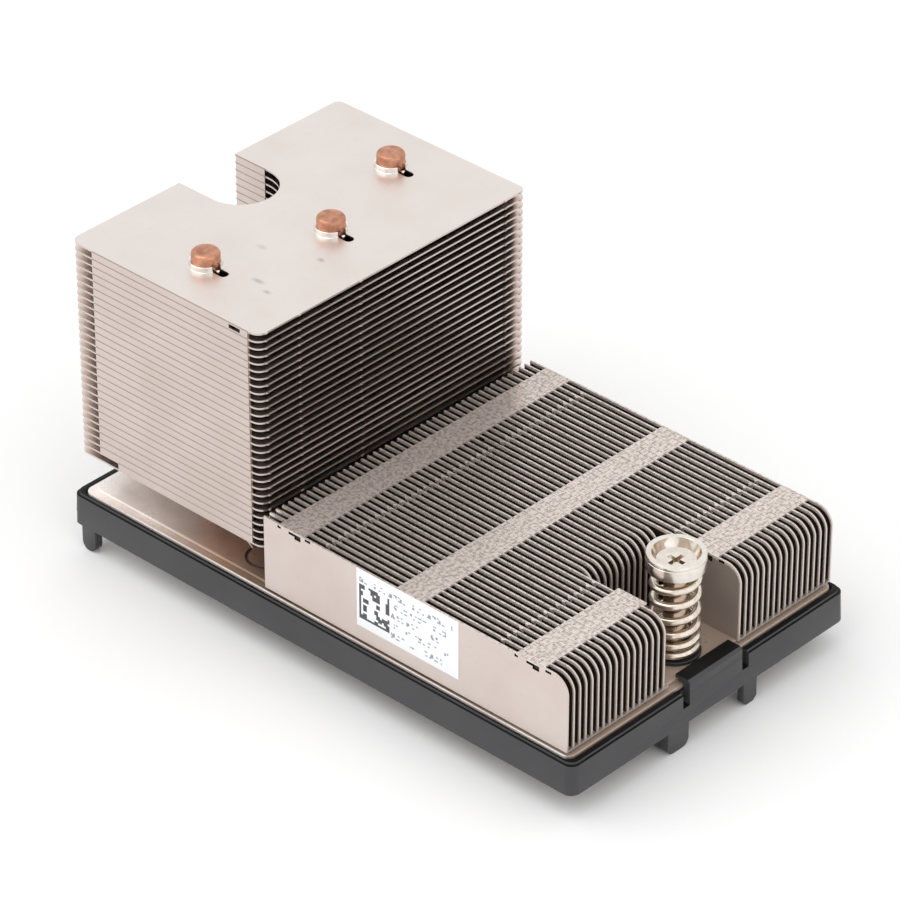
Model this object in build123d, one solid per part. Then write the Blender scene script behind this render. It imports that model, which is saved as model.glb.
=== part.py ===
"""Passive two-level heatsink for a server processor, in millimetres.

The origin is the centre of the contact face that sits on the processor, +Z is up,
+X points along the long side towards the low fins.
"""
from build123d import *
import math
import os

os.makedirs("parts", exist_ok=True)

# Low folded fins, side by side across the base
low_fin_thickness = 0.4
low_fin_pitch = 1.75
outer_bank_fins = 17
middle_bank_fins = 12
low_fin_height = 17.2
low_fin_corner = 4.0
low_corner_steps = 3
low_fins_front_margin = 0.7
middle_fins_to_screw = 12.7
tab_thickness = 0.4
tab_bands = ((0.053, 0.083), (0.447, 0.089), (0.836, 0.088))  # start and width, as shares of the fins' length

# Base plate, a flat hollow chamber with a contact block under it
base_length = 135.0
base_side_margin = 0.125
base_corner = 2.0
contact_length = 46.0
contact_width = 40.0
contact_height = 1.5
shell_height = 1.7
rim_thickness = 1.0
deck_height = 0.8
deck_inset = 1.5

# Stack of thin horizontal plates at the other end
plate_count = 30
plate_thickness = 0.4
plate_pitch = 1.73
stack_length = 53.4
stack_overhang = 1.8
stack_to_low_fins = 1.1
stack_side_inset = 1.0
stack_clear_height = 8.0
near_corner = 2.3
far_corner = 1.5
wall_back_inset = 6.4
wall_front_inset = 3.0
short_wall_plates = 2
short_wall_inset = 11.7
notch_wall_inset = 1.2
notch_wall_gap = 1.0
coarse_hole_sides = 6
coarse_notch_sides = 8
coarse_corner_share = 0.6

# Upright heat pipes and the holes they stand in
pipe_radius = 3.0
pipe_clearance = 0.05
pipe_above_stack = 3.4
pipe_spread = 53.4
middle_pipe_forward = 8.8
top_hole_sides = 12
slot_length = 3.2
slot_width = 1.5

# Captive spring screws at the two ends
screw_end_inset = 8.0
base_hole_radius = 3.0
cap_radius = 6.15
cap_height = 3.7
cap_dish_radius = 4.9
cap_dish_depth = 2.1
cross_length = 4.4
cross_width = 1.1
cross_depth = 1.2
shank_radius = 2.4
thread_radius = 2.0
thread_tip_drop = 4.0
groove_radius = 1.6
groove_play = 0.05
driver_clearance = 1.85
spring_length = 19.4
spring_outer_radius = 5.4
spring_wire = 1.7
spring_turns = 5
spring_steps = 9
spring_wire_sides = 4
spring_play = 0.05
washer_thickness = 0.8
washer_radius = 5.9
washer_hole_radius = 2.8
small_part_sides = 20
clip_thickness = 0.8
clip_radius = 4.2
clip_mouth = 2.4

# Moulded frame that the base sits in
frame_seat_gap = 0.4
frame_end_wall = 1.6
frame_side_wall = 0.9
frame_corner = 2.0
frame_draft = 2.5
frame_rim_drop = 0.3
frame_skirt = 7.35
frame_lip_step = 0.45
frame_lip_drop = 0.6
ledge_width = 3.4
ledge_thickness = 2.0
ledge_play = 0.4
hook_half_width = 7.9
hook_shift = 1.3
hook_thickness = 0.8
hook_deck_gap = 0.1
hook_washer_gap = 0.3
hook_bevel = 0.6
hook_slot_width = 2.0
hook_slot_depth = 3.6
end_rebate_depth = 1.3
end_rebate_height = 2.5
foot_drop = 5.75
corner_foot_inset = 2.4
corner_foot_length = 3.8
corner_foot_thickness = 2.0
round_foot_y = -9.65
round_foot_width = 6.2
round_foot_thickness = 4.4
round_foot_fillet = 1.9
thin_foot_y = 12.05
thin_foot_width = 4.0
thin_foot_thickness = 1.6
thin_foot_chamfer = 1.0

# Paper label on the near side of the low fins
label_length = 27.4
label_height = 13.7
label_thickness = 0.12
label_from_back = 25.8
label_from_deck = 3.4

# Heights and places that follow from the sizes above
shell_bottom = contact_height
rim_bottom = shell_bottom + shell_height
rim_top = rim_bottom + rim_thickness
deck_top = rim_top + deck_height
fin_count = 2 * outer_bank_fins + middle_bank_fins
low_fins_width = (fin_count - 1) * low_fin_pitch + low_fin_thickness
base_width = low_fins_width + 2 * base_side_margin
base_end = base_length / 2
screw_x = base_end - screw_end_inset
stack_back = -base_end - stack_overhang
stack_front = stack_back + stack_length
stack_middle = (stack_back + stack_front) / 2
stack_width = base_width - 2 * stack_side_inset
stack_bottom = deck_top + stack_clear_height
stack_top = stack_bottom + (plate_count - 1) * plate_pitch + plate_thickness
low_fins_back = stack_front + stack_to_low_fins
low_fins_front = base_end - low_fins_front_margin
middle_fins_front = screw_x - middle_fins_to_screw
low_fins_top = deck_top + low_fin_height
notch_radius = cap_radius + driver_clearance
spring_bottom = deck_top + washer_thickness
cap_bottom = spring_bottom + spring_length
pipe_places = {
    "heat_pipe_near": (stack_middle, -pipe_spread / 2),
    "heat_pipe_middle": (stack_middle + middle_pipe_forward, 0),
    "heat_pipe_far": (stack_middle, pipe_spread / 2),
}


def block(x, y, z):
    """A box from pairs of lower and upper coordinates."""
    size = Box(x[1] - x[0], y[1] - y[0], z[1] - z[0])
    return Pos((x[0] + x[1]) / 2, (y[0] + y[1]) / 2, (z[0] + z[1]) / 2) * size


def slab(length, width, corner, bottom, top):
    """A flat slab centred on the Z axis, with rounded corners in plan unless corner is 0."""
    plan = RectangleRounded(length, width, corner) if corner else Rectangle(length, width)
    return Pos(0, 0, bottom) * extrude(plan, top - bottom)


def cylinder(x, y, radius, bottom, top):
    return Pos(x, y, (bottom + top) / 2) * Cylinder(radius, top - bottom)


def base_plate():
    shell_length = base_length - 2 * (ledge_width - frame_seat_gap + ledge_play)
    shell_width = base_width - 2 * (ledge_width - frame_seat_gap + ledge_play)
    plate = slab(contact_length, contact_width, 0, 0, shell_bottom)
    plate += slab(shell_length, shell_width, 0, shell_bottom, rim_bottom)
    plate += slab(base_length, base_width, base_corner, rim_bottom, rim_top)
    plate += slab(base_length - 2 * deck_inset, base_width - 2 * deck_inset, base_corner, rim_top, deck_top)
    for x in (-screw_x, screw_x):
        plate -= Pos(x, 0) * extrude(RegularPolygon(base_hole_radius, small_part_sides, major_radius=False), deck_top)
    return plate


def low_fin(number, front):
    """One upright fin with its rounded top corner."""
    y = (number - (fin_count - 1) / 2) * low_fin_pitch
    centre = (front - low_fin_corner, low_fins_top - low_fin_corner)
    points = [(low_fins_back, low_fins_top), (low_fins_back, deck_top), (front, deck_top)]
    for step in range(low_corner_steps + 1):
        angle = math.pi / 2 * step / low_corner_steps
        points.append((centre[0] + low_fin_corner * math.cos(angle), centre[1] + low_fin_corner * math.sin(angle)))
    outline = Polyline(*[(x, 0, z) for x, z in points], close=True)
    return Pos(0, y, 0) * extrude(make_face(outline), low_fin_thickness / 2, dir=(0, 1, 0), both=True)


def fin_face(number, side):
    """The y coordinate of one side of a low fin."""
    return (number - (fin_count - 1) / 2) * low_fin_pitch + side * low_fin_thickness / 2


def low_fin_bank(first, last, front, start, end):
    """A row of fins joined by their soldered feet and by the zipped tabs along their tops."""
    bank = [low_fin(number, front) for number in range(first, last + 1)]
    bank.append(block((low_fins_back, front), (start, end), (deck_top, deck_top + tab_thickness)))
    low_fins_length = low_fins_front - low_fins_back
    for offset, width in tab_bands:
        x = low_fins_back + offset * low_fins_length
        x_end = x + width * low_fins_length
        if x_end < front - low_fin_corner + tab_thickness:
            bank.append(block((x, x_end), (start, end), (low_fins_top - tab_thickness, low_fins_top)))
    return bank[0] + bank[1:]


def low_fin_banks():
    near_last = outer_bank_fins - 1
    far_first = outer_bank_fins + middle_bank_fins
    near_end = fin_face(near_last, 1)
    far_start = fin_face(far_first, -1)
    return {
        "low_fins_near": low_fin_bank(0, near_last, low_fins_front, fin_face(0, -1), near_end),
        "low_fins_middle": low_fin_bank(near_last + 1, far_first - 1, middle_fins_front, near_end, far_start),
        "low_fins_far": low_fin_bank(
            far_first, fin_count - 1, low_fins_front, far_start, fin_face(fin_count - 1, 1)
        ),
    }


def notch_cutter(round_end):
    """The slot that lets a driver reach the rear screw: straight sides and a round end."""
    straight = Pos((stack_back - screw_x) / 2, 0) * Rectangle(-screw_x - stack_back, 2 * notch_radius)
    return straight + Pos(-screw_x, 0) * round_end


def plate_walls(bottom, back_inset):
    """The edges folded down to the plate below: both long sides and the notch's straight sides."""
    reach = (bottom - (plate_pitch - plate_thickness), bottom)
    side = stack_width / 2
    along = (stack_back + back_inset, stack_front - wall_front_inset)
    beside_notch = (stack_back + notch_wall_inset, -screw_x - notch_wall_gap)
    notch_wall = notch_radius + plate_thickness
    return [
        block(along, (-side, -side + plate_thickness), reach),
        block(along, (side - plate_thickness, side), reach),
        block(beside_notch, (-notch_wall, -notch_radius), reach),
        block(beside_notch, (notch_radius, notch_wall), reach),
    ]


def plate_blank(cut_corners, scale):
    """Plan of a plate before its notch and holes: a rectangle with smaller corners on the far side."""
    plan = Pos(stack_middle, 0) * Rectangle(stack_length, stack_width)
    plan = cut_corners(plan.vertices().group_by(Axis.Y)[0], near_corner * scale)
    return cut_corners(plan.vertices().group_by(Axis.Y)[-1], far_corner * scale)


def stack_plate(back_inset):
    """A plate of the stack, drawn at its lowest place; its curves have few sides to keep thirty of them light."""
    round_end = RegularPolygon(notch_radius, coarse_notch_sides, major_radius=False)
    plan = plate_blank(chamfer, coarse_corner_share) - notch_cutter(Rot(Z=180 / coarse_notch_sides) * round_end)
    for x, y in pipe_places.values():
        hole = RegularPolygon(pipe_radius + pipe_clearance, coarse_hole_sides, major_radius=False)
        plan -= Pos(x, y) * hole
    plate = Pos(0, 0, stack_bottom) * extrude(plan, plate_thickness)
    return plate + plate_walls(stack_bottom, back_inset)


def top_plate():
    """The uppermost plate, with true round corners and a solder slot beside each pipe."""
    bottom = stack_top - plate_thickness
    plan = plate_blank(fillet, 1) - notch_cutter(Circle(notch_radius))
    hole_radius = pipe_radius + pipe_clearance
    for x, y in pipe_places.values():
        plan -= Pos(x, y) * RegularPolygon(hole_radius, top_hole_sides, major_radius=False)
        plan -= Pos(x + (hole_radius + slot_length) / 2, y) * Rectangle(hole_radius + slot_length, slot_width)
    return Pos(0, 0, bottom) * extrude(plan, plate_thickness) + plate_walls(bottom, wall_back_inset)


def heat_pipe(x, y):
    return cylinder(x, y, pipe_radius, deck_top, stack_top + pipe_above_stack)


def small_prism(x, radius, bottom, top):
    """An upright bar with as many sides as the other small round parts."""
    return Pos(x, 0, bottom) * extrude(RegularPolygon(radius, small_part_sides), top - bottom)


def retention_screw(x):
    """Turned screw: dished cap, plain shank, a groove for its clip, and a threaded end."""
    groove_top = shell_bottom - 2 * groove_play
    groove_bottom = groove_top - clip_thickness - groove_play
    cap_top = cap_bottom + cap_height
    floor = cap_top - cap_dish_depth
    screw = cylinder(x, 0, thread_radius, -thread_tip_drop, groove_bottom)
    screw += small_prism(x, groove_radius, groove_bottom, groove_top)
    screw += small_prism(x, shank_radius, groove_top, cap_bottom)
    screw += small_prism(x, cap_radius, cap_bottom, cap_top)
    screw -= small_prism(x, cap_dish_radius, floor, cap_top)
    cross = Rectangle(cross_length, cross_width) + Rectangle(cross_width, cross_length)
    return screw - Pos(x, 0, floor - cross_depth) * extrude(cross, cross_depth)


def small_ring(radius, hole_radius):
    """Plan of a small flat ring, many-sided to keep it light."""
    hole = RegularPolygon(hole_radius, small_part_sides, major_radius=False)
    return RegularPolygon(radius, small_part_sides) - hole


def screw_clip(x):
    """Sheet ring with an open mouth, snapped into the screw's groove under the base."""
    top = shell_bottom - 2.5 * groove_play
    ring = small_ring(clip_radius, groove_radius + groove_play)
    ring -= Pos(0, clip_radius / 2) * Rectangle(clip_mouth, clip_radius)
    return Pos(x, 0, top - clip_thickness) * extrude(ring, clip_thickness)


def screw_spring(x):
    """Compression spring on a helix of short straight runs."""
    wire = spring_wire / 2
    radius = spring_outer_radius - wire
    rise = spring_length - spring_wire - 2 * spring_play
    count = spring_turns * spring_steps
    start = spring_bottom + wire + spring_play
    points = []
    for step in range(count + 1):
        angle = 2 * math.pi * step / spring_steps
        points.append((radius * math.cos(angle), radius * math.sin(angle), start + rise * step / count))
    path = Polyline(*points)
    section = Plane(origin=points[0], z_dir=path % 0) * RegularPolygon(wire, spring_wire_sides)
    return Pos(x, 0, 0) * sweep(section, path, transition=Transition.RIGHT)


def screw_washer(x):
    return Pos(x, 0, deck_top) * extrude(small_ring(washer_radius, washer_hole_radius), washer_thickness)


def hook(end):
    """Snap hook in the middle of a frame end, reaching over the rim and the deck of the base."""
    inner = base_end + frame_seat_gap
    outer = inner + frame_end_wall
    lip_bottom = deck_top + hook_deck_gap
    lip_top = lip_bottom + hook_thickness
    tip = screw_x + washer_radius + hook_washer_gap
    points = [
        (outer, rim_bottom - ledge_thickness),
        (outer, lip_top - hook_bevel),
        (outer - hook_bevel, lip_top),
        (tip, lip_top),
        (tip, lip_bottom),
        (inner, lip_bottom),
        (inner, rim_bottom - ledge_thickness),
    ]
    outline = Polyline(*[(end * x, 0, z) for x, z in points], close=True)
    return Pos(0, hook_shift, 0) * extrude(make_face(outline), hook_half_width, dir=(0, 1, 0), both=True)


def corner_foot(side, bottom):
    """Tongue at a rear corner of the frame, with a round tip."""
    outer = base_width / 2 + frame_seat_gap + frame_side_wall
    back = -(base_end + frame_seat_gap + frame_end_wall - corner_foot_inset)
    radius = corner_foot_length / 2
    tip = bottom - foot_drop
    tongue = Pos(back + radius, 0, (tip + radius + bottom) / 2) * Rot(X=90) * Rectangle(
        corner_foot_length, bottom - tip - radius
    )
    tongue += Pos(back + radius, 0, tip + radius) * Rot(X=90) * Circle(radius)
    y = side * (outer - corner_foot_thickness / 2)
    return Pos(0, y, 0) * extrude(tongue, corner_foot_thickness / 2, both=True)


def front_feet(bottom):
    """The thick round foot and the thin square foot under the front end of the frame."""
    outer = base_end + frame_seat_gap + frame_end_wall
    reach = (bottom - foot_drop, bottom)
    half = round_foot_width / 2
    thick = block((outer - round_foot_thickness, outer), (round_foot_y - half, round_foot_y + half), reach)
    thick = fillet(thick.edges().filter_by(Axis.X).group_by(Axis.Z)[0], round_foot_fillet)
    half = thin_foot_width / 2
    thin = block((outer - thin_foot_thickness, outer), (thin_foot_y - half, thin_foot_y + half), reach)
    thin = chamfer(thin.edges().filter_by(Axis.X).group_by(Axis.Z)[0], thin_foot_chamfer)
    return [thick, thin]


def support_frame():
    """One moulding: drafted skirt, inner ledge under the rim, snap hooks and feet."""
    inner_length = base_length + 2 * frame_seat_gap
    inner_width = base_width + 2 * frame_seat_gap
    length = inner_length + 2 * frame_end_wall
    width = inner_width + 2 * frame_side_wall
    top = rim_top - frame_rim_drop
    bottom = top - frame_skirt
    ledge_bottom = rim_bottom - ledge_thickness
    skirt = extrude(RectangleRounded(length, width, frame_corner), -frame_skirt, taper=-frame_draft)
    frame = Pos(0, 0, top) * skirt
    rebate = (-length, -length / 2 + end_rebate_depth - math.tan(math.radians(frame_draft)) * frame_skirt)
    frame -= block(rebate, (-width, width), (bottom, bottom + end_rebate_height))
    lip = slab(2 * length, 2 * width, frame_corner, top - frame_lip_drop, top)
    lip -= slab(length - 2 * frame_lip_step, width - 2 * frame_lip_step, frame_corner, bottom, top)
    frame -= lip
    for end in (-1, 1):
        for side in (-1, 1):
            x = end * (base_end + frame_seat_gap + frame_end_wall)
            y = hook_shift + side * (hook_half_width + hook_slot_width / 2)
            half = hook_slot_width / 2
            frame -= block((x - frame_end_wall, x + frame_end_wall), (y - half, y + half), (top - hook_slot_depth, top))
    frame += [hook(-1), hook(1), corner_foot(-1, bottom), corner_foot(1, bottom)] + front_feet(bottom)
    frame -= slab(inner_length, inner_width, base_corner, rim_bottom, deck_top + hook_deck_gap)
    opening = (inner_length - 2 * ledge_width, inner_width - 2 * ledge_width)
    frame -= slab(opening[0], opening[1], 0, bottom, rim_bottom)
    hollow = (inner_length, inner_width - 2 * (corner_foot_thickness - frame_side_wall))
    frame -= slab(hollow[0], hollow[1], 0, bottom, ledge_bottom)
    return frame


def side_label():
    x = low_fins_back + label_from_back
    y = fin_face(0, -1)
    z = deck_top + label_from_deck
    return block((x, x + label_length), (y - label_thickness, y), (z, z + label_height))


def build_all():
    nodes = {"base_plate": base_plate(), "support_frame": support_frame()}
    nodes.update(low_fin_banks())
    long_walled = stack_plate(wall_back_inset)
    short_walled = stack_plate(short_wall_inset)
    for number in range(plate_count - 1):
        plate = short_walled if number < short_wall_plates else long_walled
        nodes[f"stack_plate_{number + 1:02d}"] = Pos(0, 0, number * plate_pitch) * plate
    nodes[f"stack_plate_{plate_count:02d}"] = top_plate()
    for name, (x, y) in pipe_places.items():
        nodes[name] = heat_pipe(x, y)
    for end, x in (("rear", -screw_x), ("front", screw_x)):
        nodes[f"retention_screw_{end}"] = retention_screw(x)
        nodes[f"screw_spring_{end}"] = screw_spring(x)
        nodes[f"screw_washer_{end}"] = screw_washer(x)
        nodes[f"screw_clip_{end}"] = screw_clip(x)
    nodes["side_label"] = side_label()
    return nodes


for name, shape in build_all().items():
    export_step(shape, f"parts/{name}.step")
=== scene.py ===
import math
import random

import bmesh
import bpy
from mathutils import Matrix, Vector


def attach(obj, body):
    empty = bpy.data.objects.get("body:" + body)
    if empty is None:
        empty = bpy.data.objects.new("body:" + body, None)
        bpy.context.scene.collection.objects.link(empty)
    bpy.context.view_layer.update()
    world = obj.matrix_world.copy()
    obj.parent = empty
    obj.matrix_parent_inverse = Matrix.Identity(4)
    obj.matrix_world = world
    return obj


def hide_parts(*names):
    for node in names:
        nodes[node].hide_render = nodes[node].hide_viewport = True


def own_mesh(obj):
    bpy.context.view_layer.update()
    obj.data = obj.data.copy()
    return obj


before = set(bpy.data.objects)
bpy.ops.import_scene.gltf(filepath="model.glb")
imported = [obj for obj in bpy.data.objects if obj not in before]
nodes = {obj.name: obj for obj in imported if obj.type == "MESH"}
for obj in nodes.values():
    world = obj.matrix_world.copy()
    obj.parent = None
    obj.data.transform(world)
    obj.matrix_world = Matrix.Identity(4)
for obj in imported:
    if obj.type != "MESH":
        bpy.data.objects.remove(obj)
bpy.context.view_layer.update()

mm = 0.001
print("frame loaded with", len(nodes), "nodes")


def clearSelection():
    if bpy.context.object and bpy.context.object.mode != "OBJECT":
        bpy.ops.object.mode_set(mode="OBJECT")
    bpy.ops.object.select_all(action="DESELECT")


def pick(obj):
    clearSelection()
    obj.select_set(True)
    bpy.context.view_layer.objects.active = obj


def settled(name):  # the primitive just added, named, with its place moved into its mesh
    obj = bpy.context.active_object
    obj.name = obj.data.name = name
    pick(obj)
    bpy.ops.object.transform_apply(location=True, rotation=True, scale=True)
    return obj


def startEdit(obj, kind="VERT"):
    pick(obj)
    bpy.ops.object.mode_set(mode="EDIT")
    bpy.ops.mesh.select_mode(type=kind)


def stopEdit():
    bpy.ops.object.mode_set(mode="OBJECT")


def selectWhere(obj, test, kind="verts"):
    # selects each item that passes the test, which is given the item and its middle
    bpy.ops.mesh.select_all(action="DESELECT")
    mesh = bmesh.from_edit_mesh(obj.data)
    for item in getattr(mesh, kind):
        if kind == "verts":
            middle = item.co
        elif kind == "faces":
            middle = item.calc_center_median()
        else:
            middle = (item.verts[0].co + item.verts[1].co) / 2
        if test(item, middle):
            item.select_set(True)
    mesh.select_flush(True)
    bmesh.update_edit_mesh(obj.data)


def box(name, low, high):
    clearSelection()
    low, high = Vector(low), Vector(high)
    bpy.ops.mesh.primitive_cube_add(size=1, location=(low + high) / 2)
    bpy.context.active_object.scale = high - low
    return settled(name)


def cylinder(name, centre, radius, height, sides):
    clearSelection()
    bpy.ops.mesh.primitive_cylinder_add(vertices=sides, radius=radius, depth=height, location=centre)
    return settled(name)


def sheet(name, x, y, bottom, top, corners):
    # a flat rectangle whose corners are rounded one by one, then extruded upwards
    clearSelection()
    bpy.ops.mesh.primitive_plane_add(size=1, location=((x[0] + x[1]) / 2, (y[0] + y[1]) / 2, bottom))
    bpy.context.active_object.scale = (x[1] - x[0], y[1] - y[0], 1)
    obj = settled(name)
    startEdit(obj)
    for (cx, cy), radius in corners.items():
        corner = Vector((x[cx], y[cy], bottom))
        selectWhere(obj, lambda v, co: (co - corner).length < 1e-6)
        bpy.ops.mesh.bevel(offset=radius, segments=6, affect="VERTICES")
    bpy.ops.mesh.select_all(action="SELECT")
    bpy.ops.mesh.extrude_region_move(TRANSFORM_OT_translate={"value": (0, 0, top - bottom)})
    outwards(obj)
    return obj


def outwards(obj):
    if obj.mode != "EDIT":
        startEdit(obj)
    bpy.ops.mesh.select_all(action="SELECT")
    bpy.ops.mesh.normals_make_consistent(inside=False)
    stopEdit()


def turned(name, rings, centre=(0, 0), sides=40, hollow=False):
    # a circle extruded and scaled from ring to ring, as on a lathe
    clearSelection()
    radius, height = rings[0]
    bpy.ops.mesh.primitive_circle_add(vertices=sides, radius=radius, location=(centre[0], centre[1], height))
    obj = settled(name)
    startEdit(obj, "EDGE")
    bpy.ops.mesh.select_all(action="SELECT")
    if not hollow:
        bpy.ops.mesh.edge_face_add()
    for newRadius, newHeight in rings[1:]:
        bpy.ops.mesh.extrude_region_move(TRANSFORM_OT_translate={"value": (0, 0, newHeight - height)})
        size = newRadius / radius
        bpy.ops.transform.resize(value=(size, size, 1), center_override=(centre[0], centre[1], newHeight))
        radius, height = newRadius, newHeight
    bpy.ops.mesh.select_all(action="SELECT")
    bpy.ops.mesh.remove_doubles(threshold=1e-6)
    outwards(obj)
    return obj


def applied(obj, kind, **settings):
    pick(obj)
    modifier = obj.modifiers.new(kind.lower(), kind)
    for key, value in settings.items():
        setattr(modifier, key, value)
    bpy.ops.object.modifier_apply(modifier=modifier.name)
    return obj


def softened(obj, width, segments=2, angle=30):
    return applied(obj, "BEVEL", width=width, segments=segments, limit_method="ANGLE",
                   angle_limit=math.radians(angle), use_clamp_overlap=True)


def cut(obj, cutter, operation="DIFFERENCE"):
    applied(obj, "BOOLEAN", operation=operation, object=cutter, solver="EXACT")
    bpy.data.objects.remove(cutter)
    return obj


def joined(name, parts):
    clearSelection()
    for part in parts:
        part.select_set(True)
    bpy.context.view_layer.objects.active = parts[0]
    bpy.ops.object.join()
    parts[0].name = parts[0].data.name = name
    return parts[0]


def copied(obj, name, shift):
    twin = obj.copy()
    twin.data = obj.data.copy()
    bpy.context.scene.collection.objects.link(twin)
    twin.name = twin.data.name = name
    twin.data.transform(Matrix.Translation(shift))
    return twin


def finished(obj, body, material, replaced=(), smooth=30):
    pick(obj)
    bpy.ops.object.shade_smooth_by_angle(angle=math.radians(smooth))
    obj.data.materials.clear()
    obj.data.materials.append(material)
    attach(obj, body)
    if replaced:
        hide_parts(*replaced)
    return obj


# Finishes: small helpers, then one function per finish

def markInner(obj, test):
    # a face attribute for the finishes, which paint shade and light by it: 1 on faces that look into a gap,
    # other values as a piece's test says
    layer = obj.data.attributes.get("inner") or obj.data.attributes.new("inner", "FLOAT", "FACE")
    for face in obj.data.polygons:
        layer.data[face.index].value = test(face.normal, face.center)
    return obj


def newFinish(name, **sockets):
    material = bpy.data.materials.new(name)
    material.use_nodes = True
    tree = material.node_tree
    shader = tree.nodes["Principled BSDF"]
    for socket, value in sockets.items():
        shader.inputs[socket.replace("_", " ")].default_value = value
    place = tree.nodes.new("ShaderNodeTexCoord")
    return material, tree, shader, place.outputs["Object"]


def noise(tree, place, scale, detail=3.0, stretch=(1, 1, 1), rough=0.5):
    mapping = tree.nodes.new("ShaderNodeMapping")
    mapping.inputs["Scale"].default_value = stretch
    tree.links.new(place, mapping.inputs["Vector"])
    texture = tree.nodes.new("ShaderNodeTexNoise")
    texture.inputs["Scale"].default_value = scale
    texture.inputs["Detail"].default_value = detail
    texture.inputs["Roughness"].default_value = rough
    tree.links.new(mapping.outputs["Vector"], texture.inputs["Vector"])
    return texture.outputs["Fac"]


def blended(tree, share, first, second):
    node = tree.nodes.new("ShaderNodeMix")
    node.data_type = "RGBA"
    for socket, value in ((node.inputs[0], share), (node.inputs[6], first), (node.inputs[7], second)):
        if isinstance(value, bpy.types.NodeSocket):
            tree.links.new(value, socket)
        elif isinstance(value, tuple):
            socket.default_value = (*value, 1)
        else:
            socket.default_value = value
    return node.outputs[2]


def sums(tree, operation, first, second=0.0, clamp=False):
    node = tree.nodes.new("ShaderNodeMath")
    node.operation = operation
    node.use_clamp = clamp
    for socket, value in zip(node.inputs, (first, second)):
        if isinstance(value, bpy.types.NodeSocket):
            tree.links.new(value, socket)
        else:
            socket.default_value = value
    return node.outputs[0]


def between(tree, value, low, high, toLow=0.0, toHigh=1.0):
    node = tree.nodes.new("ShaderNodeMapRange")
    node.inputs["From Min"].default_value = low
    node.inputs["From Max"].default_value = high
    node.inputs["To Min"].default_value = toLow
    node.inputs["To Max"].default_value = toHigh
    tree.links.new(value, node.inputs["Value"])
    return node.outputs["Result"]


def spot(tree, place, centre, radius, size=(1, 1, 1)):
    # 1 at the centre of a stretched round patch, 0 from its radius on
    mapping = tree.nodes.new("ShaderNodeMapping")
    mapping.inputs["Location"].default_value = [-c * s for c, s in zip(centre, size)]
    mapping.inputs["Scale"].default_value = size
    tree.links.new(place, mapping.inputs["Vector"])
    length = tree.nodes.new("ShaderNodeVectorMath")
    length.operation = "LENGTH"
    tree.links.new(mapping.outputs["Vector"], length.inputs[0])
    return between(tree, length.outputs["Value"], 0, radius, 1, 0)


def bumped(tree, shader, height, strength, distance):
    node = tree.nodes.new("ShaderNodeBump")
    node.inputs["Strength"].default_value = strength
    node.inputs["Distance"].default_value = distance
    tree.links.new(height, node.inputs["Height"])
    tree.links.new(node.outputs["Normal"], shader.inputs["Normal"])


def axes(tree, place):
    node = tree.nodes.new("ShaderNodeSeparateXYZ")
    tree.links.new(place, node.inputs[0])
    return node.outputs


def innerMark(tree):
    node = tree.nodes.new("ShaderNodeAttribute")
    node.attribute_name = "inner"
    return node.outputs["Fac"]


def plateShade(s):
    # share of painted shade on the plates' flat faces, growing from the stack's outline inwards
    def shade(tree, place):
        x, y, _ = axes(tree, place)
        edge, deep = s["paintedLightEdge"], s["paintedShadeFrom"]
        share = sums(tree, "MULTIPLY", between(tree, x, s["front"] - deep, s["front"] - edge, 1, 0),
                     between(tree, x, s["back"] + edge, s["back"] + deep, 0, 1))
        away = between(tree, sums(tree, "ABSOLUTE", y), s["side"] - 2 * deep, s["side"] - deep, 1, 0)
        return sums(tree, "MULTIPLY", share, away)
    return shade


def finShade(s, front):
    # the same on the fins' flanks, growing from their rounded outline
    def shade(tree, place):
        x, y, z = axes(tree, place)
        corner = s["corner"]
        acrossX = sums(tree, "MAXIMUM", sums(tree, "SUBTRACT", x, front - corner), 0.0)
        acrossZ = sums(tree, "MAXIMUM", sums(tree, "SUBTRACT", z, s["top"] - corner), 0.0)
        acrossZ = sums(tree, "MULTIPLY", acrossZ, 1.08)  # the light reaches deeper from above
        length = sums(tree, "SQRT", sums(tree, "ADD", sums(tree, "MULTIPLY", acrossX, acrossX),
                                         sums(tree, "MULTIPLY", acrossZ, acrossZ)))
        share = between(tree, sums(tree, "SUBTRACT", corner, length), s["paintedLightEdge"], s["paintedShadeFrom"], 0, 1)
        # the two flanks that stand open to the front screw get less painted shade there
        openY = s["firstY"] + s["banks"]["far"][0] * s["pitch"] - s["thickness"] / 2
        openX = s["middleFront"]
        apart = sums(tree, "ABSOLUTE", sums(tree, "SUBTRACT", sums(tree, "ABSOLUTE", y), openY))
        lit = sums(tree, "MULTIPLY", between(tree, apart, 0.1 * mm, 0.15 * mm, 1, 0),
                   between(tree, x, openX + 0.1 * mm, openX + 1.7 * mm, 0, 0.38))
        return sums(tree, "MULTIPLY", share, sums(tree, "SUBTRACT", 1.0, lit))
    return shade


# deep and fold are painted shade tones, for the gaps and the crease lines; the lip tone is painted light at
# the gaps' mouths
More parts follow.
